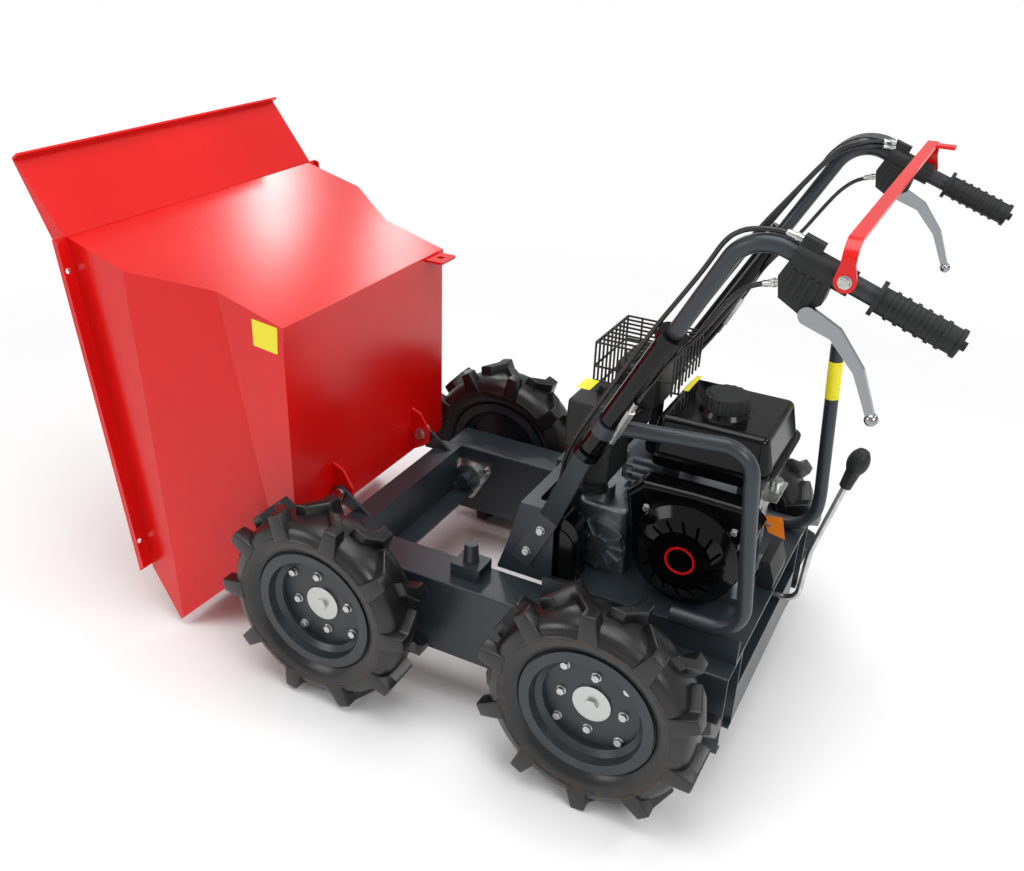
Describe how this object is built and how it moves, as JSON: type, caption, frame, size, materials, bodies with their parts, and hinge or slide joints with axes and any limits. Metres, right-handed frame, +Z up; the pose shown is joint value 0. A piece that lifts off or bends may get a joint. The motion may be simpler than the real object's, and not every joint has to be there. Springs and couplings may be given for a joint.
{
  "type": "site dumper",
  "caption": "Walk-behind motor dumper with tractor-tread wheels, a tipping steel skip, a petrol engine and two long handles.",
  "frame": {"origin": "on the ground under the middle of the overall box, with the skip tipped", "axes": "+X forward towards the skip, +Y to the machine's left, +Z up"},
  "size_m": [1.5942, 0.82, 1.023],
  "materials": {
    "black_plastic": "fine grain",
    "zinc": "zinc plated",
    "red_plastic": "gloss",
    "chassis_grey": "satin",
    "rubber": "matt",
    "polished_aluminium": "polished",
    "cast_aluminium": "cast",
    "tube_grey": "gloss",
    "gloss_black": "gloss",
    "red": "gloss",
    "heat_black": "matt",
    "tyre": "moulded",
    "rim_grey": "satin"
  },
  "bodies": {
    "chassis": {"air_cleaner": "black_plastic", "axle_bearing_front_left": "zinc", "axle_bearing_front_right": "zinc", "axle_bearing_rear_left": "zinc", "axle_bearing_rear_right": "zinc", "bail": "red_plastic", "bend_cover": "chassis_grey", "bump_stops": "rubber", "clutch_lever_left": "polished_aluminium", "clutch_lever_right": "polished_aluminium", "engine_bed": "chassis_grey", "engine_block": "cast_aluminium", "engine_guard": "tube_grey", "fan_shroud": "gloss_black", "front_crossmember": "chassis_grey", "fuel_cap": "black_plastic", "fuel_tank": "gloss_black", "gear_knob": "black_plastic", "gear_lever": "zinc", "gearbox": "cast_aluminium", "gearbox_console": "chassis_grey", "grip_left": "rubber", "grip_right": "rubber", "handle_bar_left": "chassis_grey", "handle_bar_right": "chassis_grey", "handle_sleeve_left": "gloss_black", "handle_sleeve_right": "gloss_black", "handle_tube_left": "tube_grey", "handle_tube_right": "tube_grey", "hinge_pins": "zinc", "intake_boot": "rubber", "lever_housing_left": "black_plastic", "lever_housing_right": "black_plastic", "muffler": "heat_black", "muffler_cage": "heat_black", "pulley_guard": "gloss_black", "rear_crossmember": "chassis_grey", "recoil_cover": "gloss_black", "release_lever": "tube_grey", "side_case_left": "chassis_grey", "side_case_right": "chassis_grey", "switch_box": "black_plastic", "throttle_bracket": "cast_aluminium"},
    "skip": {"latch_plate": "red", "skip_ears": "red", "skip_shell": "red"},
    "wheel_front_left": {"wheel_rim_front_left": "rim_grey", "tyre_front_left": "tyre"},
    "wheel_front_right": {"wheel_rim_front_right": "rim_grey", "tyre_front_right": "tyre"},
    "wheel_rear_left": {"wheel_rim_rear_left": "rim_grey", "tyre_rear_left": "tyre"},
    "wheel_rear_right": {"wheel_rim_rear_right": "rim_grey", "tyre_rear_right": "tyre"}
  },
  "joints": [
    {"name": "skip_tip", "type": "hinge", "parent": "chassis", "child": "skip", "pos_m": [0.265, 0, 0.299], "axis": [0, 1, 0], "range_deg": [-87, 0]},
    {"name": "spin_front_left", "type": "hinge", "parent": "chassis", "child": "wheel_front_left", "pos_m": [0.16, 0.357, 0.202], "axis": [0, 1, 0], "continuous": true},
    {"name": "spin_front_right", "type": "hinge", "parent": "chassis", "child": "wheel_front_right", "pos_m": [0.16, -0.357, 0.202], "axis": [0, 1, 0], "continuous": true},
    {"name": "spin_rear_left", "type": "hinge", "parent": "chassis", "child": "wheel_rear_left", "pos_m": [-0.38, 0.357, 0.202], "axis": [0, 1, 0], "continuous": true},
    {"name": "spin_rear_right", "type": "hinge", "parent": "chassis", "child": "wheel_rear_right", "pos_m": [-0.38, -0.357, 0.202], "axis": [0, 1, 0], "continuous": true}
  ]
}
